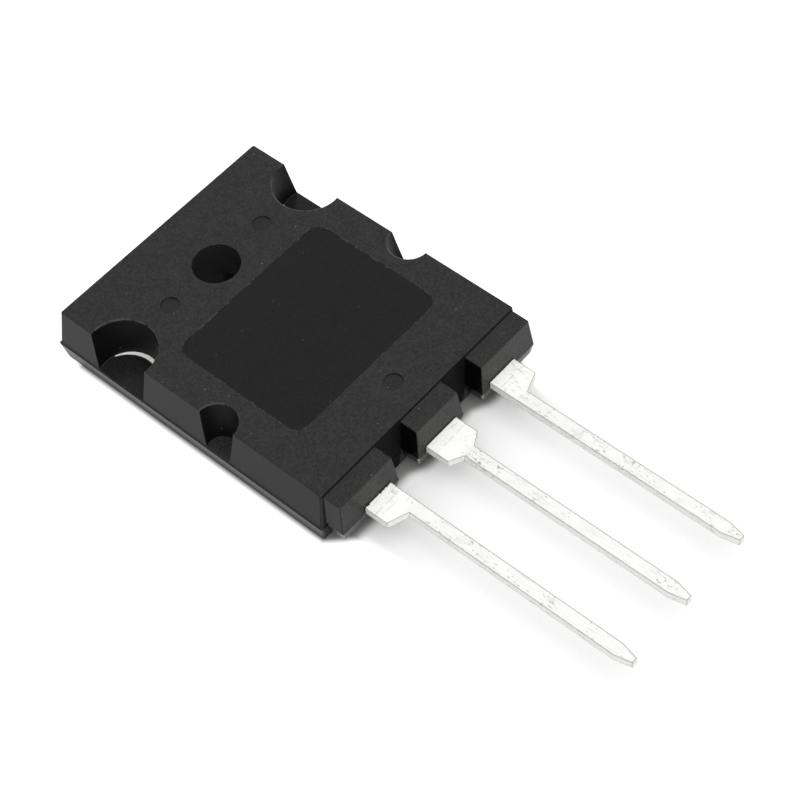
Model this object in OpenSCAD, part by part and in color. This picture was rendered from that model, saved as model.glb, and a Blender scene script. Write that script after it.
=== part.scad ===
// Power transistor in a moulded package with three leads, lying on its heatsink side.
// Sizes are in millimetres. The origin is on the axis of the mounting hole, on the back plane.
// +Z points out of the marked face, +Y towards the head end, and the leads run towards -Y.

/* [Body] */
// Width of the moulding at its parting plane
body_w = 20; // [19:0.5:22]
// Thickness from the back to the marked face
body_t = 4.85; // [4.6:0.05:5.4]
// Distance from the hole axis to the head end
head_len = 6; // [5.5:0.25:7]
// Distance from the hole axis to the lead end of the main block
tail_len = 18.3; // [17.8:0.1:19.5]
// Height of the parting plane, which is also the thickness of the header plate
part_z = 1.65; // [1.5:0.05:1.8]
// Mould draft: inset of the marked face on the sides and the head end
draft_top = 0.52; // [0.3:0.02:0.7]
// Mould draft: inset of the back
draft_back = 0.25; // [0.05:0.05:0.3]
// Radius of the upright corners of the moulding
corner_r = 0.15; // [0.1:0.05:0.5]

/* [Mounting hole and notches] */
// Diameter of the mounting hole
hole_d = 3.4; // [3.1:0.1:3.8]
// Radius of the large notches at the marked face
big_notch_r = 2.52; // [2.3:0.02:2.7]
// Radius of the small notches at the marked face
small_notch_r = 1.5; // [1.3:0.05:1.6]
// Distance of the small notches from the hole axis
small_notch_y = 9.05; // [8.5:0.05:9.5]

/* [Lead blocks] */
// How far the lead blocks stand out from the main block
block_len = 1.5; // [1.2:0.1:2]
// Step from the marked face down to the lead blocks
block_step = 0.2; // [0.1:0.05:0.4]
// Height of the underside of the lead blocks above the back
block_floor = 1.2; // [0.6:0.1:1.4]
// Width of the slots between the lead blocks at the underside of the leads
slot_w = 1.9; // [1.4:0.1:2.2]

/* [Leads] */
// Distance between neighbouring leads
lead_pitch = 5.45; // [5.3:0.05:5.6]
// Length of the leads outside the moulding
lead_len = 19.7; // [10:0.5:22]
// Width of the slim part of a lead
lead_w = 1; // [0.9:0.05:1.2]
// Thickness of the lead strip
lead_t = 0.6; // [0.5:0.05:0.7]
// Height of the underside of the leads above the back
lead_z = 2.05; // [2:0.05:2.3]
// Width of the shoulder of an outer lead
shoulder_w = 2.5; // [2.2:0.1:2.8]
// Width of the shoulder of the centre lead
centre_w = 3; // [2.8:0.1:3.2]
// Length of the shoulders outside the moulding
shoulder_len = 1.82; // [1.4:0.02:2.4]

/* [Chip] */
// Side of the square die
die_w = 8; // [6:0.5:9]
// Thickness of the die
die_t = 0.25; // [0.2:0.05:0.35]
// Thickness of the solder under the die
solder_t = 0.08; // [0.05:0.01:0.12]
// Diameter of the base wire
base_wire_d = 0.3; // [0.25:0.05:0.4]
// Diameter of the emitter wires
emitter_wire_d = 0.5; // [0.4:0.05:0.6]

/* [Hidden] */

$fn = 64;
// Excess of a cutter beyond the face it opens
over = 0.5;
half_w = body_w / 2;
corner_steps = 6;

// Top edges are broken by a narrow bevel, and the lower mould half leaves a ledge at the parting plane
edge = 0.09;
ledge = 0.1;
// The lead end has less draft than the other walls
tail_draft = 0.15;
tail_draft_back = 0.25;

// Notches: how far their axes lie inside the sides, and how much they narrow down to the floor
big_notch_inset = 0.8;
big_notch_taper = 0.32;
small_notch_inset = 0.5;
small_notch_taper = 0.4;
big_notch_x = half_w - big_notch_inset;
big_floor_r = big_notch_r - big_notch_taper;
small_notch_x = half_w - small_notch_inset;
small_floor_r = small_notch_r - small_notch_taper;

// Smooth panel on the marked face: margins to the sides and the lead end, distance to the hole axis
panel_side = 3.1;
panel_tail = 4.4;
panel_head = 2.95;
panel_r = 1.5;
panel_depth = 0.04;
panel_half = half_w - panel_side;

// Shallow round marks of the ejector pins: one on each side of the hole, one near the lead end
pin_mark_x = 4.5;
pin_mark_tail = 2.4;
pin_mark_r = 0.68;
pin_mark_depth = 0.1;
pin_marks = [[-pin_mark_x, 0], [pin_mark_x, 0], [0, pin_mark_tail - tail_len]];

// Lead blocks: they part at the underside of the leads and are drafted both ways from there
block_draft = 0.22;
block_side_draft = 0.25;
block_draft_back = 0.15;
block_edge = 0.05;
// Inset of the outer ends, the root that is sunk in the main block, and the upright corners
block_inset = 0.42;
block_sunk = 0.8;
block_r = 0.08;
block_y = -tail_len - block_len;
block_root = block_sunk - tail_len;
block_top = body_t - block_step;
block_out = half_w - block_inset;
slot_x = (centre_w / 2 + lead_pitch - lead_w / 2) / 2;
block_centre = slot_x - slot_w / 2;
block_in = slot_x + slot_w / 2;

// Header plate: margins inside the moulding, and a lower part drawn in so that the moulding grips it
plate_side = 1.5;
plate_tail = 3.7;
plate_head = 0.8;
plate_r = 0.8;
grip = 0.35;
grip_t = 0.6;
plate_half = half_w - plate_side;
plate_y0 = plate_tail - tail_len;
plate_y1 = head_len - plate_head;
grip_z = part_z - grip_t;
// Cut-outs of the plate: the sleeve of moulding in the hole, and room for the notches
sleeve_t = 0.6;
big_cut_inset = 0.4;
big_cut_less = 0.24;
small_cut_more = 0.3;
plate_hole_r = hole_d / 2 + sleeve_t;
big_cut_x = half_w - big_cut_inset;
big_cut_r = big_notch_r - big_cut_less;
small_cut_r = small_notch_r + small_cut_more;

// Leads: slanted necks and tapered tips
neck_len = 0.57;
tip_len = 1.25;
tip_w = 0.42;
tip_y = block_y - lead_len;
shoulder_y = block_y - shoulder_len;
neck_y = shoulder_y - neck_len;
lead_top = lead_z + lead_t;
// Posts of the outer leads inside the moulding
post_tail = 1.2;
post_len = 1.9;
post_wing = 0.7;
post_y0 = post_tail - tail_len;
post_y1 = post_y0 + post_len;
// Down-set of the collector lead, from the lead plane to the plate
set_tail = 1.9;
set_len = 1;
set_slant = 0.25;
set_lap = 0.3;
plate_lap = 0.4;
set_y0 = set_tail - tail_len;
set_y1 = set_y0 + set_len;

// Chip stack, centred behind the hole
die_y = -8.3;
solder_rim = 0.1;
die_z = part_z + solder_t;
die_top = die_z + die_t;
// Bond wires: rise of the arch, and the flattened foot in wire diameters
wire_rise = 0.95;
foot_long = 2.4;
foot_wide = 1.4;
foot_high = 0.6;
// Bond pads on the die: distances from its edges for the base and outer wires, from its centre for the inner
base_pad = [1.2, 1.36];
inner_pad = [0.88, -0.88];
outer_pad = [1.36, 0.08];
// Places of the feet along the posts, from the middle of the lead
base_foot_x = 0.75;
inner_foot_x = -0.05;
outer_foot_x = 1.55;

// Points of a quarter circle in the plane z
function arc(x, y, z, r, start) = [
  for (i = [0:corner_steps])
    let (a = start + 90 * i / corner_steps)
      [x + r * cos(a), y + r * sin(a), z]
];

// Rounded rectangle at one level: [z, x0, x1, y0, y1, radius]
function ring(l) = concat(
  arc(l[2] - l[5], l[4] - l[5], l[0], l[5], 0),
  arc(l[1] + l[5], l[4] - l[5], l[0], l[5], 90),
  arc(l[1] + l[5], l[3] + l[5], l[0], l[5], 180),
  arc(l[2] - l[5], l[3] + l[5], l[0], l[5], 270)
);

// Solid through a stack of rounded rectangles, as a drafted mould cavity gives
module drafted(levels) {
  n = len(ring(levels[0]));
  last = len(levels) - 1;
  points = [for (l = levels) each ring(l)];
  sides = [
    for (k = [0:last - 1])
      for (i = [0:n - 1])
        [k * n + i, k * n + n + i, k * n + n + (i + 1) % n, k * n + (i + 1) % n]
  ];
  bottom = [[for (i = [0:n - 1]) i]];
  top = [[for (i = [0:n - 1]) last * n + n - 1 - i]];
  polyhedron(points = points, faces = concat(bottom, sides, top), convexity = 4);
}

// Main block of the moulding, drafted both ways from the ledge at the parting plane
module main_block() {
  t = draft_top;
  b = draft_back;
  s = ledge;
  drafted([
    [0, b - half_w, half_w - b, tail_draft_back - tail_len, head_len - b, corner_r],
    [part_z - s, -half_w, half_w, -tail_len, head_len, corner_r],
    [part_z, s - half_w, half_w - s, s - tail_len, head_len - s, corner_r],
    [body_t - edge, t - half_w, half_w - t, tail_draft - tail_len, head_len - t, corner_r],
    [body_t, t + edge - half_w, half_w - t - edge, tail_draft + edge - tail_len,
     head_len - t - edge, corner_r]
  ]);
}

// One lead block between x0 and x1 at the underside of the leads, with sharp edges round its top
module lead_block(x0, x1) {
  b = block_draft_back;
  f = block_draft;
  s = block_side_draft;
  e = block_edge;
  drafted([
    [block_floor, x0 + b, x1 - b, block_y + b, block_root, block_r],
    [lead_z, x0, x1, block_y, block_root, block_r],
    [block_top - e, x0 + s, x1 - s, block_y + f, block_root, block_r],
    [block_top, x0 + s + e, x1 - s - e, block_y + f + e, block_root, block_r]
  ]);
}

// Revolved cutter of a notch: a cone that stands on the parting plane, with a broken rim
module notch(x, y, r_floor, r_top) {
  depth = body_t - part_z;
  translate([x, y, part_z])
    rotate_extrude()
      polygon([
        [0, 0], [r_floor, 0], [r_top, depth - edge], [r_top + edge + over, depth + over], [0, depth + over]
      ]);
}

// Rounded rectangle made of straight sides and true arcs
module round_rect(x0, x1, y0, y1, r) {
  translate([x0 + r, y0]) square([x1 - x0 - 2 * r, y1 - y0]);
  translate([x0, y0 + r]) square([x1 - x0, y1 - y0 - 2 * r]);
  for (x = [x0 + r, x1 - r], y = [y0 + r, y1 - r])
    translate([x, y]) circle(r = r);
}

// The inserts leave their own shape in the moulding
module inserts() {
  collector_solid();
  lead_solid(-1);
  lead_solid(1);
  chip_solid();
  solder_solid();
  wire_solids();
}

module epoxy_body() {
  color([0.16, 0.16, 0.165])
    difference() {
      union() {
        main_block();
        lead_block(-block_centre, block_centre);
        lead_block(-block_out, -block_in);
        lead_block(block_in, block_out);
      }
      for (side = [-1, 1]) {
        notch(side * big_notch_x, 0, big_floor_r, big_notch_r);
        notch(side * small_notch_x, -small_notch_y, small_floor_r, small_notch_r);
      }
      translate([0, 0, -over]) cylinder(h = body_t + 2 * over, d = hole_d);
      translate([0, 0, body_t - panel_depth])
        linear_extrude(height = over)
          round_rect(-panel_half, panel_half, panel_tail - tail_len, -panel_head, panel_r);
      for (m = pin_marks)
        translate([m[0], m[1], body_t - pin_mark_depth]) cylinder(h = over, r = pin_mark_r);
      inserts();
    }
}

// Outline of the header plate, drawn in by the given amount on every edge
module plate_outline(inset) {
  difference() {
    round_rect(inset - plate_half, plate_half - inset, plate_y0 + inset, plate_y1 - inset, plate_r);
    circle(r = plate_hole_r + inset);
    for (side = [-1, 1]) {
      translate([side * big_cut_x, 0]) circle(r = big_cut_r + inset);
      translate([side * small_notch_x, -small_notch_y]) circle(r = small_cut_r + inset);
    }
  }
}

// Flat outline of the collector lead outside the down-set
module centre_lead_outline() {
  s = centre_w / 2;
  w = lead_w / 2;
  polygon([
    [-s, set_y0], [s, set_y0], [s, shoulder_y], [w, neck_y], [w, tip_y + tip_len], [tip_w / 2, tip_y],
    [-tip_w / 2, tip_y], [-w, tip_y + tip_len], [-w, neck_y], [-s, shoulder_y]
  ]);
}

// Side view of the down-set that joins the lead to the plate
module down_set_profile() {
  low = part_z - lead_t;
  start = set_y0 - set_lap;
  end = plate_y0 + grip + plate_lap;
  polygon([
    [start, lead_top], [set_y0, lead_top], [set_y1, part_z], [end, part_z], [end, low],
    [set_y1 - set_slant, low], [set_y0 - set_slant, lead_z], [start, lead_z]
  ]);
}

module collector_solid() {
  linear_extrude(height = grip_z) plate_outline(grip);
  translate([0, 0, grip_z]) linear_extrude(height = part_z - grip_z) plate_outline(0);
  translate([-centre_w / 2, 0, 0])
    rotate([90, 0, 90])
      linear_extrude(height = centre_w) down_set_profile();
  translate([0, 0, lead_z]) linear_extrude(height = lead_t) centre_lead_outline();
}

module collector_frame() {
  color([0.8, 0.8, 0.79]) collector_solid();
}

// Outer lead, with its post inside the moulding: side -1 is the base, side 1 the emitter
module lead_solid(side) {
  inner = lead_pitch - lead_w / 2;
  outer = inner + lead_w;
  wide = inner + shoulder_w;
  points = [
    [inner - post_wing, post_y1], [wide + post_wing, post_y1], [wide + post_wing, post_y0],
    [wide, post_y0], [wide, shoulder_y], [outer, neck_y], [outer, tip_y + tip_len],
    [lead_pitch + tip_w / 2, tip_y], [lead_pitch - tip_w / 2, tip_y], [inner, tip_y + tip_len],
    [inner, post_y0], [inner - post_wing, post_y0]
  ];
  translate([0, 0, lead_z])
    linear_extrude(height = lead_t)
      polygon([for (p = points) [side * p[0], p[1]]]);
}

module base_lead() {
  color([0.8, 0.8, 0.79]) lead_solid(-1);
}

module emitter_lead() {
  color([0.8, 0.8, 0.79]) lead_solid(1);
}

module chip_solid() {
  translate([-die_w / 2, die_y - die_w / 2, die_z]) cube([die_w, die_w, die_t]);
}

module die() {
  color([0.32, 0.33, 0.37]) chip_solid();
}

module solder_solid() {
  side = die_w + 2 * solder_rim;
  translate([-side / 2, die_y - side / 2, part_z]) cube([side, side, solder_t]);
}

module die_solder() {
  color([0.6, 0.6, 0.58]) solder_solid();
}

// Flattened foot of a bond wire on a flat surface
module wire_foot(p, turn, d) {
  translate(p)
    rotate([0, 0, turn])
      translate([-foot_long * d / 2, -foot_wide * d / 2, 0])
        cube([foot_long * d, foot_wide * d, foot_high * d]);
}

// Bond wire from the die to a post: a round arch between two flattened feet
module wire_solid(from, to, d) {
  lift = d / 2;
  run = norm([to[0] - from[0], to[1] - from[1]]);
  climb = lead_top - die_top;
  span = norm([run, climb]);
  bend_r = (span * span / 4 + wire_rise * wire_rise) / (2 * wire_rise);
  half_turn = asin(span / 2 / bend_r);
  turn = atan2(to[1] - from[1], to[0] - from[0]);
  wire_foot([from[0], from[1], die_top], turn, d);
  wire_foot([to[0], to[1], lead_top], turn, d);
  translate([from[0], from[1], die_top + lift])
    rotate([0, -atan2(climb, run), turn])
      translate([span / 2, 0, wire_rise - bend_r])
        rotate([90, 0, 0])
          rotate([0, 0, 90 - half_turn])
            rotate_extrude(angle = 2 * half_turn)
              translate([bend_r, 0]) circle(d = d);
}

// Ends of the wires, from the pads on the die to the posts
post_y = (post_y0 + post_y1) / 2;
base_from = [base_pad[0] - die_w / 2, die_y + base_pad[1] - die_w / 2];
base_to = [-lead_pitch - base_foot_x, post_y];
inner_from = [inner_pad[0], die_y + inner_pad[1]];
inner_to = [lead_pitch + inner_foot_x, post_y];
outer_from = [die_w / 2 - outer_pad[0], die_y + outer_pad[1]];
outer_to = [lead_pitch + outer_foot_x, post_y];

module wire_solids() {
  wire_solid(base_from, base_to, base_wire_d);
  wire_solid(inner_from, inner_to, emitter_wire_d);
  wire_solid(outer_from, outer_to, emitter_wire_d);
}

module base_wire() {
  color([0.86, 0.86, 0.87]) wire_solid(base_from, base_to, base_wire_d);
}

module emitter_wire_inner() {
  color([0.86, 0.86, 0.87]) wire_solid(inner_from, inner_to, emitter_wire_d);
}

module emitter_wire_outer() {
  color([0.86, 0.86, 0.87]) wire_solid(outer_from, outer_to, emitter_wire_d);
}

epoxy_body();
collector_frame();
base_lead();
emitter_lead();
die();
die_solder();
base_wire();
emitter_wire_inner();
emitter_wire_outer();
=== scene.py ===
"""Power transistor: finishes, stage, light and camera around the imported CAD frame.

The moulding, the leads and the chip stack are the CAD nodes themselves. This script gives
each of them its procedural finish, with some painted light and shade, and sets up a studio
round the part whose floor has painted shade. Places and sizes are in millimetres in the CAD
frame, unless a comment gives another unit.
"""

from __future__ import annotations

import logging
import math
from dataclasses import dataclass
from enum import Enum
from typing import Any, Union

import bpy
from mathutils import Matrix, Vector


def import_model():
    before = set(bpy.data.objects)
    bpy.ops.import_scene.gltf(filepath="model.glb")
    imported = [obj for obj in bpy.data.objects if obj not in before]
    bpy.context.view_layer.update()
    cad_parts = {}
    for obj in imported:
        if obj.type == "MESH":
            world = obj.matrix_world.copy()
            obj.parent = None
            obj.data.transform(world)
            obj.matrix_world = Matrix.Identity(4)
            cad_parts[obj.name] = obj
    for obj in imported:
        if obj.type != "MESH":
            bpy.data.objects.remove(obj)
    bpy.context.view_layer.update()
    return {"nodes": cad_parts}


LOG = logging.getLogger("power_transistor")

# Metres in a millimetre, and millimetres in a metre
MM = 0.001
PER_M = 1000.0

# Where a mask is 0 and where it is 1, and any other two numbers
Span = tuple[float, float]
Pair = tuple[float, float]
Triple = tuple[float, float, float]
Colour = tuple[float, float, float]
Out = bpy.types.NodeSocket
Value = Union[float, Triple, Out]


class Piece(Enum):
    """The CAD nodes of the part."""

    MOULDING = "epoxy_body"
    COLLECTOR = "collector_frame"
    BASE = "base_lead"
    EMITTER = "emitter_lead"
    DIE = "die"
    SOLDER = "die_solder"
    BASE_WIRE = "base_wire"
    INNER_WIRE = "emitter_wire_inner"
    OUTER_WIRE = "emitter_wire_outer"


class Socket(Enum):
    """Kinds of socket on a node group."""

    VALUE = "NodeSocketFloat"
    VECTOR = "NodeSocketVector"

    @classmethod
    def of(cls, name: str) -> Socket:
        """Gives the kind of socket that a name stands for."""
        return cls.VECTOR if name in ("Vector", "Normal") else cls.VALUE


@dataclass(frozen=True)
class Place:
    """The object's own coordinates, whole and axis by axis."""

    whole: Out
    x: Out
    y: Out
    z: Out


@dataclass(frozen=True)
class Sight:
    """How a surface is seen: by the camera itself, in a reflection or through glass, or by either.

    The last field counts the clear surfaces on the way.
    """

    straight: Out
    mirrored: Out
    either: Out
    passed: Out


class Wiring:
    """Adds nodes to one shader tree, sets their sockets and links them."""

    def __init__(self, tree: bpy.types.NodeTree) -> None:
        """Starts on an empty tree.

        Args:
            tree: The node tree of a material, a world or a group.
        """
        self.tree = tree
        tree.nodes.clear()

    def node(self, kind: str, **settings: Any) -> bpy.types.Node:
        """Adds one node.

        Args:
            kind: Blender's class name of the node.
            **settings: Properties to set on the node.

        Returns:
            The new node.
        """
        made = self.tree.nodes.new(kind)
        for name, setting in settings.items():
            setattr(made, name, setting)
        return made

    def feed(self, socket: Out, value: Value) -> None:
        """Links a socket to another one, or sets its own value.

        Args:
            socket: The input to feed.
            value: An output socket, a number, a vector or a colour.
        """
        if isinstance(value, bpy.types.NodeSocket):
            self.tree.links.new(value, socket)
        elif isinstance(value, tuple) and socket.type == "RGBA":
            socket.default_value = (*value, 1.0)
        else:
            socket.default_value = value

    def math(self, operation: str, *values: Value, clamp: bool = False) -> Out:
        """Adds a Math node.

        Args:
            operation: Blender's name of the operation.
            *values: The operands.
            clamp: Whether the result is kept between 0 and 1.

        Returns:
            The result's socket.
        """
        made = self.node("ShaderNodeMath", operation=operation, use_clamp=clamp)
        for socket, value in zip(made.inputs, values):
            self.feed(socket, value)
        return made.outputs[0]

    def product(self, first: Value, *others: Value) -> Value:
        """Multiplies numbers.

        Args:
            first: The first factor.
            *others: The other factors.

        Returns:
            The product's socket.
        """
        for other in others:
            first = self.math("MULTIPLY", first, other)
        return first

    def most(self, first: Value, *others: Value) -> Value:
        """Finds the largest of some numbers.

        Args:
            first: The first number.
            *others: The other numbers.

        Returns:
            The largest number's socket.
        """
        for other in others:
            first = self.math("MAXIMUM", first, other)
        return first

    def add(self, value: Value, weight: Value, base: Value) -> Out:
        """Adds a weighted number to another one."""
        return self.math("MULTIPLY_ADD", value, weight, base)

    def less(self, value: Value, other: Value) -> Out:
        """Takes one number from another."""
        return self.math("SUBTRACT", value, other)

    def size(self, value: Value) -> Out:
        """Drops a number's sign."""
        return self.math("ABSOLUTE", value)

    def off(self, value: Value, middle: Value) -> Out:
        """Measures how far a number is from another one, either way."""
        return self.size(self.less(value, middle))

    def distance(self, across: Value, along: Value) -> Out:
        """Measures the distance that two steps at right angles make."""
        squares = (self.product(across, across), self.product(along, along))
        return self.math("SQRT", self.math("ADD", *squares))

    def vector(self, operation: str, *values: Value) -> Out:
        """Adds a Vector Math node.

        Args:
            operation: Blender's name of the operation.
            *values: The operands.

        Returns:
            The result's socket: a number for a dot product or a length.
        """
        made = self.node("ShaderNodeVectorMath", operation=operation)
        for socket, value in zip(made.inputs, values):
            self.feed(socket, value)
        number = operation in ("DOT_PRODUCT", "LENGTH")
        return made.outputs["Value" if number else "Vector"]

    def scaled(self, vector: Out, factors: Triple) -> Out:
        """Multiplies a vector, axis by axis."""
        return self.vector("MULTIPLY", vector, factors)

    def split(self, vector: Out) -> tuple[Out, ...]:
        """Splits a vector or a colour into its three numbers.

        Args:
            vector: The vector or colour.

        Returns:
            The sockets of its numbers.
        """
        made = self.node("ShaderNodeSeparateXYZ")
        self.feed(made.inputs[0], vector)
        return tuple(made.outputs)

    def ramp(
        self, value: Value, start: Value, end: Value, low: float = 0.0, high: float = 1.0
    ) -> Out:
        """Maps a number smoothly from one range to another.

        Args:
            value: The number to map.
            start: Where the result is low.
            end: Where the result is high.
            low: The result at start and before it.
            high: The result at end and after it.

        Returns:
            The mapped number's socket.
        """
        made = self.node("ShaderNodeMapRange", interpolation_type="SMOOTHSTEP")
        for socket, part in zip(made.inputs, (value, start, end, low, high)):
            self.feed(socket, part)
        return made.outputs[0]

    def fade(self, value: Value, span: Span, size: float = 0.0) -> Out:
        """Turns a number into a mask that fades in over a span, measured from a size."""
        return self.ramp(value, size + span[0], size + span[1])

    def blend(self, factor: Value, first: Value, second: Value) -> Out:
        """Mixes two colours.

        Args:
            factor: The share of the second colour.
            first: The colour at a factor of 0.
            second: The colour at a factor of 1.

        Returns:
            The mixed colour's socket.
        """
        made = self.node("ShaderNodeMix", data_type="RGBA", clamp_factor=True)
        colours = [socket for socket in made.inputs if socket.type == "RGBA"]
        self.feed(made.inputs[0], factor)
        self.feed(colours[0], first)
        self.feed(colours[1], second)
        return next(socket for socket in made.outputs if socket.type == "RGBA")

    def coats(self, ground: Value, layers: tuple[tuple[Value, Value], ...]) -> Value:
        """Lays colours over each other.

        Args:
            ground: The lowest colour.
            layers: The share and the colour of each coat, from the lowest to the highest.

        Returns:
            The colour that shows.
        """
        for share, colour in layers:
            ground = self.blend(share, ground, colour)
        return ground

    def noise(self, vector: Value, scale: Value, detail: float = 2.0, rough: float = 0.5) -> Out:
        """Adds a noise texture.

        Args:
            vector: The coordinates that the noise follows.
            scale: Features per unit of the coordinates.
            detail: Number of finer layers.
            rough: Weight of the finer layers.

        Returns:
            The noise value's socket.
        """
        made = self.node("ShaderNodeTexNoise")
        values = {"Vector": vector, "Scale": scale, "Detail": detail, "Roughness": rough}
        for name, value in values.items():
            self.feed(made.inputs[name], value)
        return made.outputs[0]

    def normal(self) -> tuple[Out, ...]:
        """Gives the three numbers of the surface's normal."""
        return self.split(self.node("ShaderNodeNewGeometry").outputs["Normal"])

    def millimetres(self) -> Out:
        """Gives the object's own coordinates in millimetres."""
        metres = self.node("ShaderNodeTexCoord").outputs["Object"]
        return self.scaled(metres, (PER_M, PER_M, PER_M))

    def place(self) -> Place:
        """Gives the coordinates in millimetres, whole and axis by axis."""
        whole = self.millimetres()
        return Place(whole, *self.split(whole))

    def sight(self) -> Sight:
        """Tells how the surface is seen, for the floor and the surroundings.

        Returns:
            The kinds of ray that meet the surface.
        """
        ray = self.node("ShaderNodeLightPath").outputs
        straight = ray["Is Camera Ray"]
        mirrored = self.math("ADD", ray["Is Glossy Ray"], ray["Is Transmission Ray"], clamp=True)
        either = self.math("ADD", straight, mirrored, clamp=True)
        return Sight(straight, mirrored, either, ray["Transparent Depth"])

    def joined(self, kind: str, *parts: Value) -> Out:
        """Joins shaders.

        Args:
            kind: Blender's class name of the joining node.
            *parts: The node's inputs in order.

        Returns:
            The joined shader's socket.
        """
        made = self.node(kind)
        for socket, part in zip(made.inputs, parts):
            self.feed(socket, part)
        return made.outputs[0]

    def group(self, tree: bpy.types.NodeTree, **values: Value) -> bpy.types.Node:
        """Places a node group.

        Args:
            tree: The group's tree.
            **values: Its inputs by name, with spaces written as underscores.

        Returns:
            The group node.
        """
        made = self.node("ShaderNodeGroup", node_tree=tree)
        for name, value in values.items():
            self.feed(made.inputs[name.replace("_", " ")], value)
        return made


@dataclass(frozen=True)
class Patches:
    """A noise that is cut to a mask between two of its levels."""

    scale: float
    levels: Span
    detail: float = 2.0
    rough: float = 0.5

    def mask(self, w: Wiring, vector: Out) -> Out:
        """Makes the mask on some coordinates."""
        return w.fade(w.noise(vector, self.scale, self.detail, self.rough), self.levels)


@dataclass(frozen=True)
class GroupPlan:
    """Name and sockets of one shader node group."""

    name: str
    inputs: tuple[str, ...]
    outputs: tuple[str, ...]

    def start(self) -> tuple[Wiring, dict[str, Out], bpy.types.Node]:
        """Makes the empty group with its sockets.

        Returns:
            The wiring of the group, its inputs by name, and its output node.
        """
        tree = bpy.data.node_groups.new(self.name, "ShaderNodeTree")
        for side, names in (("INPUT", self.inputs), ("OUTPUT", self.outputs)):
            for name in names:
                kind = Socket.of(name).value
                tree.interface.new_socket(name=name, in_out=side, socket_type=kind)
        wiring = Wiring(tree)
        entry = wiring.node("NodeGroupInput")
        sockets = {name: entry.outputs[name] for name in self.inputs}
        return wiring, sockets, wiring.node("NodeGroupOutput")


class Effects:
    """The shader node groups that several finishes share."""

    # Number and weight of the finer layers of noise
    FINE: Pair = (3.0, 0.6)
    CLOUDY: Pair = (4.0, 0.6)
    CLOUD_LEVELS: Span = (0.3, 0.7)
    # Share of a speck's radius that is full
    SPECK_CORE: float = 0.4
    BEVEL_SAMPLES: int = 6
    # How far the normal turns on an edge, and the levels over which its wear breaks off
    TURN: Span = (0.004, 0.08)
    BREAK: float = 0.12

    def __init__(self) -> None:
        """Builds each group once."""
        self.grain = self._grain()
        self.specks = self._specks()
        self.edges = self._edges()

    def _grain(self) -> bpy.types.NodeTree:
        """Builds fine surface grain over slow clouds.

        Returns:
            The group, with the grain's height and the clouds' tone.
        """
        plan = GroupPlan("Surface grain", ("Vector", "Grain", "Cloud"), ("Height", "Tone"))
        w, given, out = plan.start()
        clouds = w.noise(given["Vector"], given["Cloud"], *self.CLOUDY)
        w.feed(out.inputs["Height"], w.noise(given["Vector"], given["Grain"], *self.FINE))
        w.feed(out.inputs["Tone"], w.fade(clouds, self.CLOUD_LEVELS))
        return w.tree

    def _specks(self) -> bpy.types.NodeTree:
        """Builds sparse round specks.

        Returns:
            The group, with a mask that is 1 on a speck.
        """
        plan = GroupPlan("Sparse specks", ("Vector", "Scale", "Radius", "Share"), ("Mask",))
        w, given, out = plan.start()
        cells = w.node("ShaderNodeTexVoronoi")
        w.feed(cells.inputs["Vector"], given["Vector"])
        w.feed(cells.inputs["Scale"], given["Scale"])
        chance = w.split(cells.outputs["Color"])[0]
        chosen = w.math("LESS_THAN", chance, given["Share"])
        core = w.product(given["Radius"], self.SPECK_CORE)
        inside = w.ramp(cells.outputs["Distance"], given["Radius"], core)
        w.feed(out.inputs["Mask"], w.product(chosen, inside))
        return w.tree

    def _edges(self) -> bpy.types.NodeTree:
        """Builds a rounded edge and the broken line of wear along it.

        Returns:
            The group, with the rounded normal, the whole edge and the worn share of it.
        """
        plan = GroupPlan(
            "Worn edges", ("Vector", "Radius", "Scale", "Cover"), ("Normal", "Edge", "Worn")
        )
        w, given, out = plan.start()
        bevel = w.node("ShaderNodeBevel", samples=self.BEVEL_SAMPLES)
        w.feed(bevel.inputs["Radius"], given["Radius"])
        flat = w.node("ShaderNodeNewGeometry").outputs["Normal"]
        turned = w.less(1.0, w.vector("DOT_PRODUCT", bevel.outputs[0], flat))
        edge = w.fade(turned, self.TURN)
        level = w.less(1.0, given["Cover"])
        wear = w.noise(given["Vector"], given["Scale"], *self.FINE)
        broken = w.ramp(wear, level, w.math("ADD", level, self.BREAK))
        w.feed(out.inputs["Normal"], bevel.outputs[0])
        w.feed(out.inputs["Edge"], edge)
        w.feed(out.inputs["Worn"], w.product(edge, broken))
        return w.tree


class Finish:
    """One material, made round a Principled BSDF."""

    def __init__(self, name: str) -> None:
        """Makes the material with its shader and output.

        Args:
            name: The material's name.
        """
        self.material = bpy.data.materials.new(name)
        self.material.use_nodes = True
        self.w = Wiring(self.material.node_tree)
        self.shader = self.w.node("ShaderNodeBsdfPrincipled")
        output = self.w.node("ShaderNodeOutputMaterial")
        self.w.feed(output.inputs["Surface"], self.shader.outputs[0])

    def set(self, **values: Value) -> None:
        """Feeds the shader's sockets.

        Args:
            **values: Sockets by name, with spaces written as underscores.
        """
        for name, value in values.items():
            self.w.feed(self.shader.inputs[name.replace("_", " ")], value)

    def bump(
        self, height: Value, depth: float, strength: float, normal: Value | None = None
    ) -> None:
        """Gives the shader a bumped normal.

        Args:
            height: The relief, from 0 to 1.
            depth: The relief's depth in millimetres.
            strength: How much of the relief shows.
            normal: A rounded normal to start from.
        """
        made = self.w.node("ShaderNodeBump")
        self.w.feed(made.inputs["Height"], height)
        self.w.feed(made.inputs["Distance"], depth * MM)
        self.w.feed(made.inputs["Strength"], strength)
        if normal is not None:
            self.w.feed(made.inputs["Normal"], normal)
        self.set(Normal=made.outputs[0])


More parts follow.
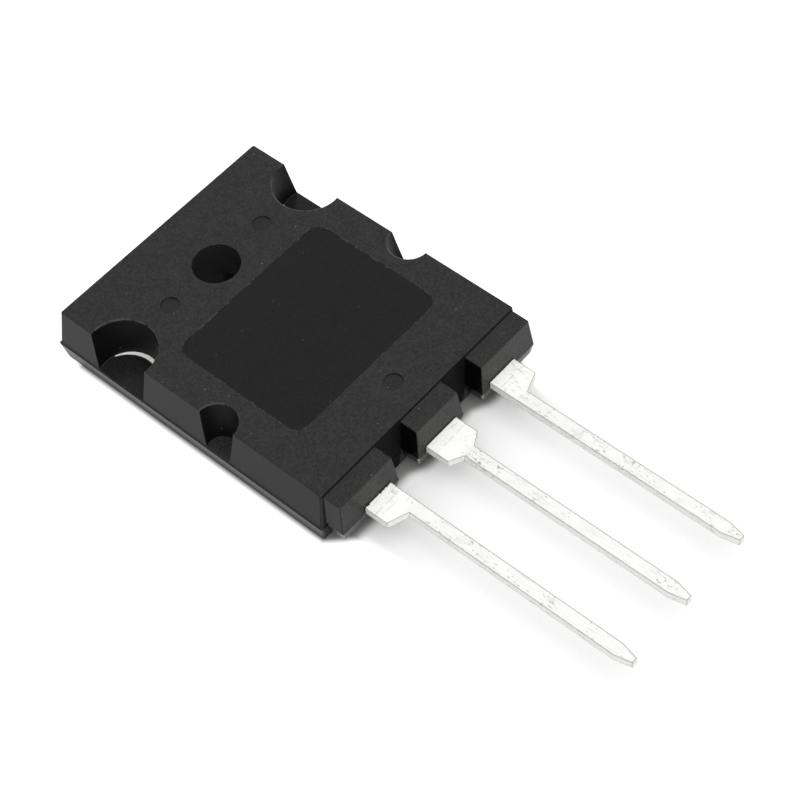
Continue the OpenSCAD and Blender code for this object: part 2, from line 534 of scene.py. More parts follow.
def dress(nodes: dict[str, bpy.types.Object], piece: Piece, finish: Finish) -> None:
    """Puts a finish on a CAD node.

    Args:
        nodes: The frame's nodes by name.
        piece: The node to dress.
        finish: The finish that it gets.
    """
    target = nodes[piece.value]
    if not target.material_slots:
        target.data.materials.append(finish.material)
    for slot in target.material_slots:
        slot.material = finish.material
    LOG.info("%s: %s", piece.value, finish.material.name)


@dataclass(frozen=True)
class Notch:
    """A conical notch on both sides: its axis, and its radii at the floor and the rim."""

    across: float
    along: float
    floor_r: float
    rim_r: float


@dataclass(frozen=True)
class Panel:
    """The smooth panel: half sizes, middle along the part and corner radius."""

    half_x: float
    half_y: float
    middle: float
    radius: float


@dataclass(frozen=True)
class Slot:
    """A slot between lead blocks: middle, half width at the leads, start, and how it widens."""

    middle: float
    half: float
    start: float
    lean: float


@dataclass(frozen=True)
class Step:
    """The low wall between the lead blocks and the top: its foot and its two heights."""

    foot: float
    low: float
    high: float


@dataclass(frozen=True)
class Marks:
    """The masks of the moulding's surfaces and marks."""

    panel: Value
    panel_rim: Value
    off_panel: Value
    pins: Value
    pin_walls: Value
    notches: Value
    notch_floor: Value
    notch_lip: Value
    hole: Value
    slots: Value
    slot_shade: Value
    recess: Value
    step_wall: Value
    walls: Value
    ends: Value
    wall_foot: Value
    chips: Value


@dataclass
class Moulding:
    """The epoxy body: a matte moulding with a smooth panel and painted shade in its notches and
    slots.
    """

    top: float = 4.85
    parting: float = 1.65
    # Underside of the leads, where the lead blocks part
    lead_z: float = 2.05
    hole_r: float = 1.7
    big_notch: Notch = Notch(9.2, 0.0, 2.2, 2.52)
    small_notch: Notch = Notch(9.5, -9.05, 1.1, 1.5)
    panel: Panel = Panel(6.9, 5.475, -8.425, 0.9)
    slot: Slot = Slot(3.225, 0.95, -18.05, 0.098)
    step: Step = Step(-18.15, 4.65, 4.76)
    # Marks of the ejector pins: places and radius
    pin_marks: tuple[Pair, ...] = ((-4.5, 0.0), (4.5, 0.0), (0.0, -15.9))
    pin_r: float = 0.68
    # Worn corners under the lead blocks: places and reach, and the share of the reach that is full
    nicks: tuple[Triple, ...] = (
        (-2.2, -19.75, 0.16),
        (4.25, -19.75, 0.16),
        (9.42, -19.6, 0.35),
        (-9.5, -19.7, 0.12),
    )
    nick_core: float = 0.5

    # Spans of the masks, from the heights, radii and lines above that they follow
    on_top: Span = (-0.16, -0.1)
    below_rim: Span = (-0.02, -0.12)
    above_parting: Span = (0.02, 0.1)
    below_parting: Span = (0.02, -0.02)
    below_leads: Span = (0.05, -0.05)
    panel_fill: Span = (0.03, -0.03)
    panel_line: Span = (0.05, 0.015)
    panel_guard: Span = (0.3, 0.1)
    notch_fill: Span = (0.05, 0.02)
    notch_inside: Span = (0.0, -0.1)
    notch_level: Span = (0.1, 0.04)
    lip_line: Span = (0.11, 0.03)
    hole_fill: Span = (0.04, 0.01)
    slot_side: Span = (0.05, 0.0)
    slot_start: Span = (0.05, -0.02)
    slot_back: Span = (-0.35, -0.2)
    pin_fill: Span = (0.01, -0.03)
    pin_wall: Span = (-0.06, -0.02)
    pin_depth: Span = (-0.004, -0.015)
    step_rim: Span = (0.02, -0.02)
    step_base: Span = (-0.06, -0.02)
    step_front: Span = (-0.08, -0.05)
    step_back: Span = (0.2, 0.1)
    foot_height: Span = (1.1, 0.05)
    # Where the lead blocks start along the part
    blocks: Span = (-18.4, -18.6)
    # How far the normal of a wall turns from upright, and that of an end wall towards the ends
    steep: Span = (0.6, 0.3)
    end_on: Span = (0.5, 0.8)

    # Noise that breaks up the panel's rim, the lips of the notches, the chips and the nicks
    rim_dots: Patches = Patches(3.2, (0.52, 0.62))
    lip_gaps: Patches = Patches(2.2, (0.42, 0.56), 3.0)
    flakes: Patches = Patches(4.0, (0.45, 0.55))
    nick_gaps: Patches = Patches(5.0, (0.38, 0.5))
    # Levels of the grain that give the mottle, and of the clouds that hold dust
    mottle: Span = (0.33, 0.67)
    dusty: Span = (0.3, 0.8)

    matte: Colour = (0.0175, 0.0175, 0.0178)
    matte_light: Colour = (0.0345, 0.0345, 0.0332)
    # Painted shade on the side walls and painted light on the end walls, as copies of the epoxy's
    # tone
    shaded_wall_dark: Colour = (0.002, 0.002, 0.002)
    shaded_wall_light: Colour = (0.012, 0.012, 0.0117)
    lit_end_dark: Colour = (0.022, 0.022, 0.0215)
    lit_end_light: Colour = (0.046, 0.046, 0.045)
    smooth: Colour = (0.008, 0.008, 0.008)
    smooth_light: Colour = (0.012, 0.012, 0.012)
    # Painted shade for the slots, notches, hole, creases and the walls of the ejector marks
    polished: Colour = (0.003, 0.003, 0.0031)
    bore: Colour = (0.024, 0.024, 0.025)
    # Scuffs and wear, and painted highlights along the panel's rim and the notches' lips
    scuff_and_highlight: Colour = (0.11, 0.11, 0.105)
    chipped: Colour = (0.45, 0.45, 0.43)
    dust: Colour = (0.20, 0.20, 0.19)

    # Shares of the clouds and the mottle in the tone, and of the thinner coats
    cloud_share: float = 0.2
    mottle_share: float = 0.8
    foot_shade_share: float = 0.5
    pin_share: float = 0.3
    notch_floor_shade_share: float = 0.6
    rim_share: float = 0.5
    lip_share: float = 0.4
    worn_share: float = 0.5
    panel_dust: float = -0.7

    # Roughness: its base, and what each surface adds to it
    rough: float = 0.2
    mottle_rough: float = 0.08
    wall_rough: float = -0.04
    polish_rough: float = 0.3
    hole_rough: float = 0.12
    shade_rough: float = 0.6
    slot_rough: float = -0.06
    specular: float = 0.117
    # Relief of the grain: depth, strength, and the share that the smooth surfaces lose
    relief: float = 0.012
    relief_strength: float = 0.3
    flat_share: float = 0.8

    def _off_notch(self, w: Wiring, at: Place, notch: Notch) -> Out:
        """Measures the distance to the wall of a notch, on both sides of the part.

        Args:
            w: The material's wiring.
            at: The coordinates in millimetres.
            notch: The notch.

        Returns:
            The distance in millimetres, negative in the notch.
        """
        reach = w.distance(w.less(w.size(at.x), notch.across), w.less(at.y, notch.along))
        slope = (notch.rim_r - notch.floor_r) / (self.top - self.parting)
        wall = w.add(at.z, slope, notch.floor_r - slope * self.parting)
        return w.less(reach, wall)

    def _reach(self, w: Wiring, at: Place, x: float, y: float) -> Out:
        """Measures the distance from an upright line."""
        return w.distance(w.less(at.x, x), w.less(at.y, y))

    def _in_slots(self, w: Wiring, at: Place) -> Value:
        """Marks the slots between the lead blocks: glossy from the mould's blades, with painted
        shade.

        Args:
            w: The material's wiring.
            at: The coordinates in millimetres.

        Returns:
            The mask, at any height.
        """
        slot = self.slot
        half = w.add(at.z, slot.lean, slot.half - slot.lean * self.lead_z)
        off = w.less(w.off(w.size(at.x), slot.middle), half)
        return w.product(w.fade(off, self.slot_side), w.fade(at.y, self.slot_start, slot.start))

    def _step_wall(self, w: Wiring, at: Place) -> Value:
        """Marks the low wall between the lead blocks and the top, with the crease at its foot.

        Args:
            w: The material's wiring.
            at: The coordinates in millimetres.

        Returns:
            The mask.
        """
        step = self.step
        height = w.product(
            w.fade(at.z, self.step_rim, step.high), w.fade(at.z, self.step_base, step.low)
        )
        along = w.product(
            w.fade(at.y, self.step_front, step.foot), w.fade(at.y, self.step_back, step.foot)
        )
        return w.product(height, along)

    def _nicked(self, w: Wiring, at: Place) -> Value:
        """Marks the worn corners of the lead blocks.

        Args:
            w: The material's wiring.
            at: The coordinates in millimetres.

        Returns:
            The mask, at any height.
        """
        worn: Value = 0.0
        for x, y, reach in self.nicks:
            corner = w.ramp(self._reach(w, at, x, y), reach, self.nick_core * reach)
            worn = w.most(worn, corner)
        return worn

    def _off_pin(self, w: Wiring, at: Place) -> Value:
        """Measures the distance from the middle of the nearest ejector mark.

        Args:
            w: The material's wiring.
            at: The coordinates in millimetres.

        Returns:
            The distance in millimetres.
        """
        first, *others = (self._reach(w, at, x, y) for x, y in self.pin_marks)
        for other in others:
            first = w.math("MINIMUM", first, other)
        return first

    def _off_panel(self, w: Wiring, at: Place) -> Out:
        """Measures the distance to the panel's rounded outline.

        Args:
            w: The material's wiring.
            at: The coordinates in millimetres.

        Returns:
            The distance in millimetres, negative inside.
        """
        panel = self.panel
        x = w.less(w.size(at.x), panel.half_x - panel.radius)
        y = w.less(w.off(at.y, panel.middle), panel.half_y - panel.radius)
        corner = w.distance(w.most(x, 0.0), w.most(y, 0.0))
        inner = w.math("MINIMUM", w.most(x, y), 0.0)
        return w.less(w.math("ADD", corner, inner), panel.radius)

    def _marks(self, w: Wiring, at: Place, edge: Out) -> Marks:
        """Finds the surfaces and marks of the moulding.

        Args:
            w: The material's wiring.
            at: The coordinates in millimetres.
            edge: The mask of the edges.

        Returns:
            Their masks.
        """
        on_top = w.fade(at.z, self.on_top, self.top)
        below_rim = w.fade(at.z, self.below_rim, self.top)
        zone = w.product(below_rim, w.fade(at.z, self.above_parting, self.parting))
        below_leads = w.fade(at.z, self.below_leads, self.lead_z)
        outline = self._off_panel(w, at)
        rim_line = w.fade(w.size(outline), self.panel_line)
        guard = w.product(on_top, w.fade(outline, self.panel_guard))
        off_big = self._off_notch(w, at, self.big_notch)
        off_notch = w.math("MINIMUM", off_big, self._off_notch(w, at, self.small_notch))
        notches = w.product(w.fade(off_notch, self.notch_fill), zone)
        level = w.fade(w.off(at.z, self.parting), self.notch_level)
        lip = w.product(w.fade(off_notch, self.lip_line), self.lip_gaps.mask(w, at.whole))
        hole = w.product(w.fade(self._reach(w, at, 0.0, 0.0), self.hole_fill, self.hole_r), zone)
        slots = w.product(self._in_slots(w, at), below_rim)
        low_slots = w.product(slots, w.fade(at.z, self.below_parting, self.parting))
        slot_backs = w.product(slots, w.fade(at.y, self.slot_back, self.slot.start))
        off_pin = self._off_pin(w, at)
        pins = w.product(w.fade(off_pin, self.pin_fill, self.pin_r), on_top)
        pin_walls = w.product(w.fade(off_pin, self.pin_wall, self.pin_r), pins)
        blocks = w.product(w.fade(at.y, self.blocks), below_leads)
        chips = w.product(edge, blocks, self.flakes.mask(w, at.whole))
        nicks = w.product(self._nicked(w, at), below_leads, self.nick_gaps.mask(w, at.whole))
        _, facing_y, facing_z = w.normal()
        return Marks(
            panel=w.product(on_top, w.fade(outline, self.panel_fill)),
            panel_rim=w.product(rim_line, self.rim_dots.mask(w, at.whole), on_top),
            off_panel=w.less(1.0, guard),
            pins=pins,
            pin_walls=w.product(pin_walls, w.fade(at.z, self.pin_depth, self.top)),
            notches=notches,
            notch_floor=w.product(w.fade(off_big, self.notch_inside), level),
            notch_lip=w.product(lip, on_top),
            hole=hole,
            slots=slots,
            slot_shade=w.most(low_slots, slot_backs),
            recess=w.most(slots, notches, hole),
            step_wall=self._step_wall(w, at),
            walls=w.fade(w.size(facing_z), self.steep),
            ends=w.fade(w.size(facing_y), self.end_on),
            wall_foot=w.product(w.fade(at.z, self.foot_height, self.parting), zone),
            chips=w.most(chips, nicks),
        )

    def _colour(self, w: Wiring, marks: Marks, tone: Out, worn: Out, settled: Value) -> Value:
        """Lays the colours of the epoxy over each other, painted light and shade among them.

        Args:
            w: The material's wiring.
            marks: The masks of the surfaces.
            tone: The share of the lighter tones.
            worn: The mask of the worn edges.
            settled: The mask of the dust.

        Returns:
            The colour that shows.
        """
        # Painted shade on the side walls, painted light on the end walls
        shaded_sides = w.blend(tone, self.shaded_wall_dark, self.shaded_wall_light)
        walls = w.blend(marks.ends, shaded_sides, w.blend(tone, self.lit_end_dark, self.lit_end_light))
        matte = w.blend(tone, self.matte, self.matte_light)
        # Painted shade at the foot of the walls, above the parting line
        foot_shade = w.product(marks.wall_foot, w.product(marks.walls, self.foot_shade_share))
        return w.coats(
            matte,
            (
                (marks.walls, walls),
                (foot_shade, self.polished),
                (marks.panel, w.blend(tone, self.smooth, self.smooth_light)),
                (w.product(marks.pins, self.pin_share), self.smooth),
                # Painted shade in the slots, the notches and the hole
                (marks.recess, self.polished),
                # Painted shade on the big notch's floor beside its wall
                (w.product(marks.notch_floor, self.notch_floor_shade_share), self.polished),
                (marks.hole, self.bore),
                # Scuffs on the panel's rim and the notches' lips, partly painted highlights
                (w.product(marks.panel_rim, self.rim_share), self.scuff_and_highlight),
                (w.product(marks.notch_lip, self.lip_share), self.scuff_and_highlight),
                (w.product(worn, marks.off_panel, self.worn_share), self.scuff_and_highlight),
                # Painted shade on the low step wall and on the walls of the ejector marks
                (w.most(marks.step_wall, marks.pin_walls), self.polished),
                (marks.chips, self.chipped),
                (w.product(settled, w.add(marks.panel, self.panel_dust, 1.0)), self.dust),
            ),
        )

    def _roughness(self, w: Wiring, marks: Marks, mottle: Out) -> Value:
        """Adds up the roughness.

        Args:
            w: The material's wiring.
            marks: The masks of the surfaces.
            mottle: The mask of the grain's mottle.

        Returns:
            The roughness.
        """
        rough: Value = self.rough
        for mask, change in (
            (mottle, self.mottle_rough),
            (marks.walls, self.wall_rough),
            (w.most(marks.notches, marks.step_wall), self.polish_rough),
            (marks.hole, self.hole_rough),
            (marks.slot_shade, self.shade_rough),
            (marks.slots, self.slot_rough),
        ):
            rough = w.add(mask, change, rough)
        return rough

    def finish(self, effects: Effects) -> Finish:
        """Makes the epoxy.

        Args:
            effects: The shared node groups.

        Returns:
            The finish of the moulding.
        """
        made = Finish("Moulded epoxy")
        w = made.w
        at = w.place()
        grain = w.group(effects.grain, Vector=at.whole, Grain=6.5, Cloud=0.9).outputs
        edges = w.group(
            effects.edges, Vector=at.whole, Radius=0.04 * MM, Scale=2.6, Cover=0.45
        ).outputs
        dust = w.group(effects.specks, Vector=at.whole, Scale=1.6, Radius=0.09, Share=0.3).outputs
        marks = self._marks(w, at, edges["Edge"])
        mottle = w.fade(grain["Height"], self.mottle)
        tone = w.add(grain["Tone"], self.cloud_share, w.product(mottle, self.mottle_share))
        settled = w.product(dust["Mask"], w.fade(grain["Tone"], self.dusty))
        made.set(
            Base_Color=self._colour(w, marks, tone, edges["Worn"], settled),
            Roughness=self._roughness(w, marks, mottle),
            Specular_IOR_Level=self.specular,
        )
        flat = w.most(marks.panel, marks.recess, marks.notch_floor)
        coarse = w.less(1.0, w.product(flat, self.flat_share))
        height = w.product(grain["Height"], coarse)
        made.bump(height, self.relief, self.relief_strength, edges["Normal"])
        return made

    def build(self, nodes: dict[str, bpy.types.Object], effects: Effects) -> None:
        """Dresses the moulding."""
        dress(nodes, Piece.MOULDING, self.finish(effects))


@dataclass
class Leadframe:
    """The collector frame and the outer leads, all plated with tin."""

    # Along the part: where the leads leave the moulding, the line that the trimmed dam bar leaves
    # on the shoulders, and where the shoulders end
    root: float = -19.83
    dam_line: float = -20.62
    shoulder: float = -21.9
    shoulder_end: Span = (0.4, -0.4)
    dam_width: Span = (0.06, 0.02)
    # Height that parts the leads from the plate
    lead_plane: float = 1.9

    # Strokes along the slim leads and across the rest, in features per millimetre, and their levels
    stroke_along: Triple = (9.0, 0.7, 9.0)
    stroke_across: Triple = (0.7, 9.0, 9.0)
    stroke_levels: Span = (0.58, 0.7)
    # Stains and pits, stretched along the leads, and where they crowd
    stretch: Triple = (1.0, 0.5, 1.0)
    stains: Patches = Patches(2.2, (0.55, 0.68), 4.0, 0.65)
    pits: Patches = Patches(7.0, (0.585, 0.645), 3.0, 0.6)
    crowds: Patches = Patches(0.6, (0.44, 0.64))
    dam_gaps: Patches = Patches(2.0, (0.42, 0.55))
    # Epoxy that crept over the roots of the leads, partly a painted shadow line at the roots: the
    # noise of its ragged line, the side where the line reaches further, its reach elsewhere and
    # there, and its soft edge
    creep_scale: float = 4.5
    creep_detail: Pair = (3.0, 0.6)
    creep_middle: float = 0.55
    base_side: Span = (-4.0, -4.4)
    creep_reach: Pair = (0.05, 0.3)
    creep_edge: Span = (0.0, 0.03)
    # How far the normal of a sheared side turns from upright
    steep: Span = (0.6, 0.3)

    # Painted light: shoulders, sheared sides and plate, in more shade, are lighter than the slim
    # tops
    lit_shoulder_tone: Colour = (0.99, 0.985, 0.955)
    bright: Colour = (0.888, 0.885, 0.868)
    dull: Colour = (0.84, 0.835, 0.815)
    stain: Colour = (0.62, 0.61, 0.56)
    # Dark colour of the scratches, the dam line and the painted shade along the edges
    edge: Colour = (0.22, 0.22, 0.21)
    pit: Colour = (0.3, 0.29, 0.25)
    # Epoxy flash over the lead roots, partly a painted shadow line there
    flash_and_root_shade: Colour = (0.006, 0.006, 0.006)

    # Shares of the marks, and what a crowd of them adds, or a slim lead
    stain_share: Pair = (0.1, 0.6)
    pit_share: Pair = (0.1, 0.75)
    pit_slim: Pair = (0.4, 0.6)
    scratch_share: float = 0.22
    dam_share: float = 0.3
    # Share of the painted shade line along the edges, and what it loses on the sheared sides
    edge_share: Pair = (0.95, -0.45)
    metallic: float = 0.12
    # Roughness and what the grain adds to it
    rough: Pair = (0.4, 0.16)
    # Relief of the grain: depth, strength, and how far the marks sink into it
    relief: float = 0.008
    relief_strength: float = 0.4
    sunk: float = 0.8

    def _creep(self, w: Wiring, at: Place) -> Value:
        """Marks the epoxy that crept over the roots of the leads, partly a painted shadow line
        there.

        Args:
            w: The material's wiring.
            at: The coordinates in millimetres.

        Returns:
            The mask.
        """
        reach = w.ramp(at.x, *self.base_side, *self.creep_reach)
        wave = w.less(w.noise(at.whole, self.creep_scale, *self.creep_detail), self.creep_middle)
        ragged = w.add(wave, reach, self.root)
        covered = w.fade(w.less(at.y, ragged), self.creep_edge)
        return w.product(covered, w.math("GREATER_THAN", at.z, self.lead_plane))

    def finish(self, effects: Effects) -> Finish:
        """Makes the tin plating.

        Args:
            effects: The shared node groups.

        Returns:
            The finish of the frame and the leads.
        """
        made = Finish("Tin plating")
        w = made.w
        at = w.place()
        grain = w.group(effects.grain, Vector=at.whole, Grain=5.0, Cloud=0.7).outputs
        edges = w.group(
            effects.edges, Vector=at.whole, Radius=0.14 * MM, Scale=1.8, Cover=0.5
        ).outputs
        slim = w.fade(at.y, self.shoulder_end, self.shoulder)
        along, across = (
            w.noise(w.scaled(at.whole, stroke), 1.0)
            for stroke in (self.stroke_along, self.stroke_across)
        )
        scratch = w.fade(w.add(slim, w.less(along, across), across), self.stroke_levels)
        crowd = self.crowds.mask(w, at.whole)
        stretched = w.scaled(at.whole, self.stretch)
        few, more = self.stain_share
        stained = w.product(self.stains.mask(w, stretched), w.add(crowd, more, few))
        few, more = self.pit_share
        pitted = w.product(self.pits.mask(w, stretched), w.add(crowd, more, few))
        few, more = self.pit_slim
        pitted = w.product(pitted, w.add(slim, more, few))
        dam = w.fade(w.off(at.y, self.dam_line), self.dam_width)
        dam = w.product(dam, self.dam_gaps.mask(w, at.whole))
        covered = self._creep(w, at)

        sheared = w.fade(w.size(w.normal()[2]), self.steep)
        full, lost = self.edge_share
        # Painted shade: a dark line along the edges, fainter on the sheared sides
        edge_shade = w.product(edges["Edge"], w.add(sheared, lost, full))
        marks = w.most(
            w.product(scratch, self.scratch_share), w.product(dam, self.dam_share), edge_shade
        )
        slim_top = w.product(slim, w.less(1.0, sheared))
        tin = w.blend(grain["Tone"], self.bright, self.dull)
        # Painted light: all but the slim leads' tops keep the lighter shoulder tone
        colour = w.coats(
            self.lit_shoulder_tone,
            (
                (slim_top, tin),
                (stained, self.stain),
                (marks, self.edge),
                (pitted, self.pit),
                (covered, self.flash_and_root_shade),
            ),
        )
        base, by_grain = self.rough
        made.set(
            Base_Color=colour,
            Metallic=w.add(covered, -self.metallic, self.metallic),
            Roughness=w.add(grain["Height"], by_grain, base),
        )
        height = w.less(grain["Height"], w.product(marks, self.sunk))
        made.bump(height, self.relief, self.relief_strength, edges["Normal"])
        return made

    def build(self, nodes: dict[str, bpy.types.Object], effects: Effects) -> None:
        """Dresses the frame and the leads.

        Args:
            nodes: The frame's nodes by name.
            effects: The shared node groups.
        """
        plating = self.finish(effects)
        for piece in (Piece.COLLECTOR, Piece.BASE, Piece.EMITTER):
            dress(nodes, piece, plating)


@dataclass(frozen=True)
class InnerFinish:
    """A finish of the pieces that are sealed inside the moulding."""

    name: str
    light: Colour
    dark: Colour
    metallic: float
    rough: float
    grain: float
    # Grains in a cloud, what the grain adds to the roughness, and its relief's depth and strength
    per_cloud: float = 6.0
    grain_rough: float = 0.15
    relief: float = 0.004
    relief_strength: float = 0.4

    def make(self, effects: Effects) -> Finish:
        """Makes the material.

        Args:
            effects: The shared node groups.

        Returns:
            The finish.
        """
        made = Finish(self.name)
        w = made.w
        cloud = self.grain / self.per_cloud
        grain = w.group(
            effects.grain, Vector=w.millimetres(), Grain=self.grain, Cloud=cloud
        ).outputs
        made.set(
            Base_Color=w.blend(grain["Tone"], self.light, self.dark),
            Metallic=self.metallic,
            Roughness=w.add(grain["Height"], self.grain_rough, self.rough),
        )
        made.bump(grain["Height"], self.relief, self.relief_strength)
        return made


@dataclass
class ChipStack:
    """The die, its solder and the bond wires, sealed in the moulding."""

    silicon: InnerFinish = InnerFinish(
        "Silicon", (0.10, 0.105, 0.13), (0.07, 0.07, 0.09), metallic=0.0, rough=0.18, grain=4.0
    )
    solder: InnerFinish = InnerFinish(
        "Solder", (0.42, 0.42, 0.40), (0.30, 0.30, 0.29), metallic=1.0, rough=0.42, grain=5.0
    )
    wire: InnerFinish = InnerFinish(
        "Aluminium wire", (0.80, 0.80, 0.81), (0.66, 0.66, 0.67), metallic=1.0, rough=0.3, grain=9.0
    )

    def build(self, nodes: dict[str, bpy.types.Object], effects: Effects) -> None:
        """Dresses the stack.

        Args:
            nodes: The frame's nodes by name.
            effects: The shared node groups.
        """
        dress(nodes, Piece.DIE, self.silicon.make(effects))
        dress(nodes, Piece.SOLDER, self.solder.make(effects))
        aluminium = self.wire.make(effects)
        for piece in (Piece.BASE_WIRE, Piece.INNER_WIRE, Piece.OUTER_WIRE):
            dress(nodes, piece, aluminium)


@dataclass(frozen=True)
class SoftBox:
    """One square area lamp that points at the part, with its power in watts."""

    name: str
    place: Triple
    size: float
    power: float
    aim: Triple = (0.0, -12.0, 2.0)

    def build(self) -> None:
        """Hangs the lamp."""
        place = Vector(self.place) * MM
        bpy.ops.object.light_add(type="AREA", location=place)
        lamp = bpy.context.object
        lamp.name = self.name
        lamp.data.shape = "SQUARE"
        lamp.data.size = self.size * MM
        lamp.data.energy = self.power
        ray = Vector(self.aim) * MM - place
        lamp.rotation_euler = ray.to_track_quat("-Z", "Y").to_euler()
        LOG.info("lamp %s", self.name)


@dataclass
class Studio:
    """Pale floor with painted shade round the part, even white surroundings and one soft lamp."""

    floor_size: float = 6000.0
    floor_drop: float = 0.02
    floor_colour: Colour = (0.75, 0.75, 0.75)
    # Painted shadow of the ground under the part
    painted_shadow_colour: Colour = (0.3, 0.3, 0.29)
    # Floor round the leads: its zone, its tones there and in front of the blocks; the camera alone
    # sees these tones, which with the extra white paint light into the leads' shadows
    lead_sides: Span = (9.0, 7.4)
    lead_start: Span = (-17.0, -20.0)
    lead_floor: Colour = (0.38, 0.38, 0.38)
    front_floor: Colour = (0.54, 0.54, 0.54)
    # Extra white of the floor round the leads and elsewhere
    lead_lift: float = 0.62
    side_lift: float = 0.66
    # Share of the extra white in reflections, where the floor is then about white
    mirror_share: float = 0.5
    # Share of the leads' extra white that comes back slowly in front of the part, and how far out;
    # holding it back paints shade there
    slow_share: float = 0.5
    slow_reach: float = 7.0
    # Where the floor turns plain white
    plain: Span = (45.0, 130.0)
    # Ground under the part, which gets no extra white and is painted dark as the part's shadow:
    # half sizes, middle along the part
    shaded: Triple = (9.8, 12.63, -6.87)
    # Corners cut off that ground, and how far it draws back in the slots between the lead blocks
    corner_cut: float = 1.5
    slot_push: float = 0.6
    slot_middle: float = 3.225
    slot_reach: Span = (2.2, 0.4)
    # Soft border of that ground, beside the part and past its ends, and where in it the extra white
    # comes in and the painted shadow goes out
    side_border: float = 0.4
    end_border: float = 0.7
    white_in: Span = (-0.1, 1.0)
    dark_out: Span = (0.4, -0.4)
    # Light of the surroundings on the part, where 1 is white
    surroundings: float = 0.45
    lamp: SoftBox = SoftBox("key box", (-30.0, -120.0, 360.0), 420.0, 1.25)

    def _floor_material(self) -> bpy.types.Material:
        """Makes the floor's white, which keeps the part's shadow, adds painted shade and isn't seen
        from below.

        Returns:
            The floor's material.
        """
        material = bpy.data.materials.new("Pale floor")
        material.use_nodes = True
        w = Wiring(material.node_tree)
        at = w.place()
        sight = w.sight()
        half_x, half_y, middle = self.shaded
        side = w.size(at.x)
        leads = w.product(w.fade(side, self.lead_sides), w.fade(at.y, self.lead_start))
        out_x = w.less(side, half_x)
        in_slot = w.fade(w.off(side, self.slot_middle), self.slot_reach)
        out_y = w.add(in_slot, self.slot_push, w.less(w.off(at.y, middle), half_y))
        out_corner = w.math("ADD", w.math("ADD", out_x, out_y), self.corner_cut)
        border = w.most(
            w.math("DIVIDE", out_x, self.side_border),
            w.math("DIVIDE", out_y, self.end_border),
            w.math("DIVIDE", out_corner, self.end_border),
        )

        # Painted shade: the extra white is held back under the part and comes back slowly in front
        # of it
        away = w.ramp(out_y, 0.0, self.slow_reach)
        slow = w.add(away, self.slow_share, 1.0 - self.slow_share)
        by_leads = w.product(slow, self.lead_lift)
        lift = w.add(leads, w.less(by_leads, self.side_lift), self.side_lift)
        shown = w.add(sight.mirrored, self.mirror_share, sight.straight)
        extra = w.node("ShaderNodeEmission")
        w.feed(extra.inputs["Strength"], w.product(lift, w.fade(border, self.white_in), shown))

        # Camera-only tones round the leads: with the extra white they paint light into the leads'
        # shadows
        round_leads = w.blend(away, self.front_floor, self.lead_floor)
        pale = w.blend(w.product(leads, sight.straight), self.floor_colour, round_leads)
        paper = w.node("ShaderNodeBsdfDiffuse")
        # Painted shadow: the ground under the part darkens to its own colour
        covered = w.fade(border, self.dark_out)
        w.feed(paper.inputs["Color"], w.blend(covered, pale, self.painted_shadow_colour))

        white = w.node("ShaderNodeEmission")
        w.feed(white.inputs["Strength"], 1.0)
        far = w.product(w.fade(w.vector("LENGTH", at.whole), self.plain), sight.either)
        near = w.joined("ShaderNodeAddShader", paper.outputs[0], extra.outputs[0])
        above = w.joined("ShaderNodeMixShader", far, near, white.outputs[0])
        under = w.node("ShaderNodeNewGeometry").outputs["Backfacing"]
        passed = w.math("GREATER_THAN", sight.passed, 0.5)
        clear = w.node("ShaderNodeBsdfTransparent").outputs[0]
        whole = w.joined("ShaderNodeMixShader", w.most(under, passed), above, clear)
        w.feed(w.node("ShaderNodeOutputMaterial").inputs["Surface"], whole)
        return material

    def _floor(self) -> None:
        """Lays the floor just under the part."""
        bpy.ops.object.select_all(action="DESELECT")
        place = (0.0, 0.0, -self.floor_drop * MM)
        bpy.ops.mesh.primitive_plane_add(size=self.floor_size * MM, location=place)
        floor = bpy.context.object
        floor.name = "floor"
        floor.data.materials.append(self._floor_material())

    def _world(self) -> None:
        """Sets even white surroundings."""
        world = bpy.data.worlds.new("Studio")
        world.use_nodes = True
        bpy.context.scene.world = world
        w = Wiring(world.node_tree)
        back = w.node("ShaderNodeBackground")
        strength = w.ramp(w.sight().either, 0.0, 1.0, self.surroundings, 1.0)
        w.feed(back.inputs["Color"], (1.0, 1.0, 1.0))
        w.feed(back.inputs["Strength"], strength)
        w.feed(w.node("ShaderNodeOutputWorld").inputs["Surface"], back.outputs[0])

    def build(self) -> None:
        """Sets up the floor, the surroundings and the lamp."""
        self._floor()
        self._world()
        self.lamp.build()
        bpy.context.scene.view_settings.view_transform = "Standard"


@dataclass
class PhotoCamera:
    """The camera at the photograph's angle, in millimetres and degrees."""

    azimuth: float = -43.864
    elevation: float = 54.461
    roll: float = -6.456
    distance: float = 134.70
    target: Triple = (0.325, -15.988, 2.5)
    sensor: float = 36.0
    # Focal length over the picture's width, both in pixels
    focal_share: float = 2058.7 / 800.0
    nearest: float = 5.0
    furthest: float = 20000.0

    def build(self) -> None:
        """Places the camera and makes it the scene's own."""
        azimuth, elevation, roll = (
            math.radians(angle) for angle in (self.azimuth, self.elevation, self.roll)
        )
        flat = math.cos(elevation)
        back = Vector(
            (math.sin(azimuth) * flat, -math.cos(azimuth) * flat, math.sin(elevation))
        )
        level = Vector((math.cos(azimuth), math.sin(azimuth), 0.0))
        rise = back.cross(level)
        right = math.cos(roll) * level + math.sin(roll) * rise
        up = math.cos(roll) * rise - math.sin(roll) * level
        place = (Vector(self.target) + back * self.distance) * MM
        bpy.ops.object.camera_add(location=place)
        camera = bpy.context.object
        camera.name = "photo camera"
        camera.rotation_euler = Matrix((right, up, back)).transposed().to_euler()
        camera.data.sensor_width = self.sensor
        camera.data.lens = self.sensor * self.focal_share
        camera.data.clip_start = self.nearest * MM
        camera.data.clip_end = self.furthest * MM
        bpy.context.scene.camera = camera


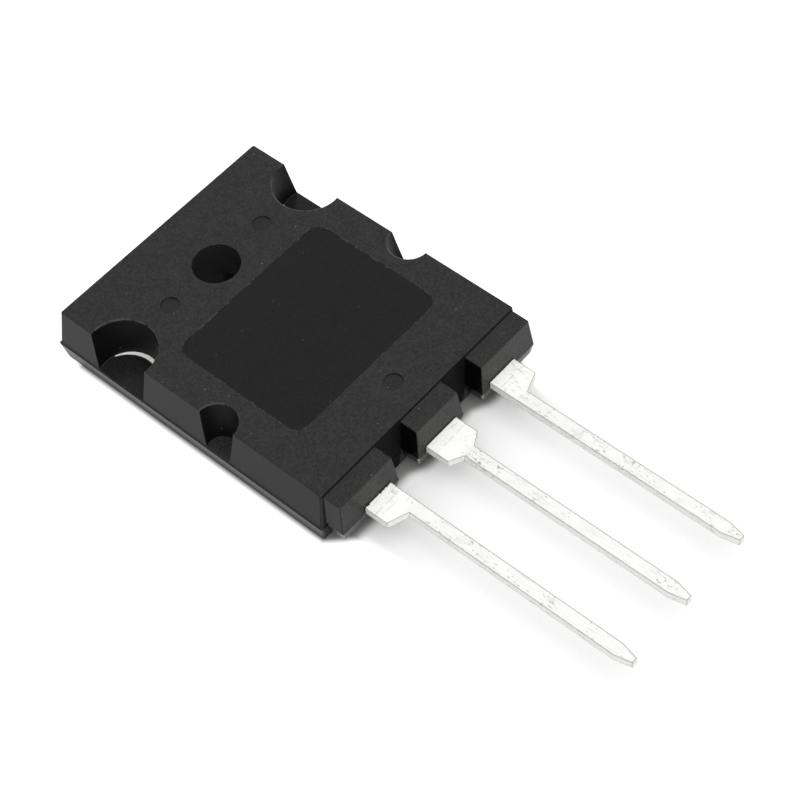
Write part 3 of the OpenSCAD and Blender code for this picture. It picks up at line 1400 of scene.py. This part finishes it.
def main() -> None:
    """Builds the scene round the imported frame."""
    logging.basicConfig(level=logging.INFO)
    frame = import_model()
    effects = Effects()
    for part in (Moulding(), Leadframe(), ChipStack()):
        part.build(frame["nodes"], effects)
    Studio().build()
    PhotoCamera().build()


if __name__ == "__main__":
    main()
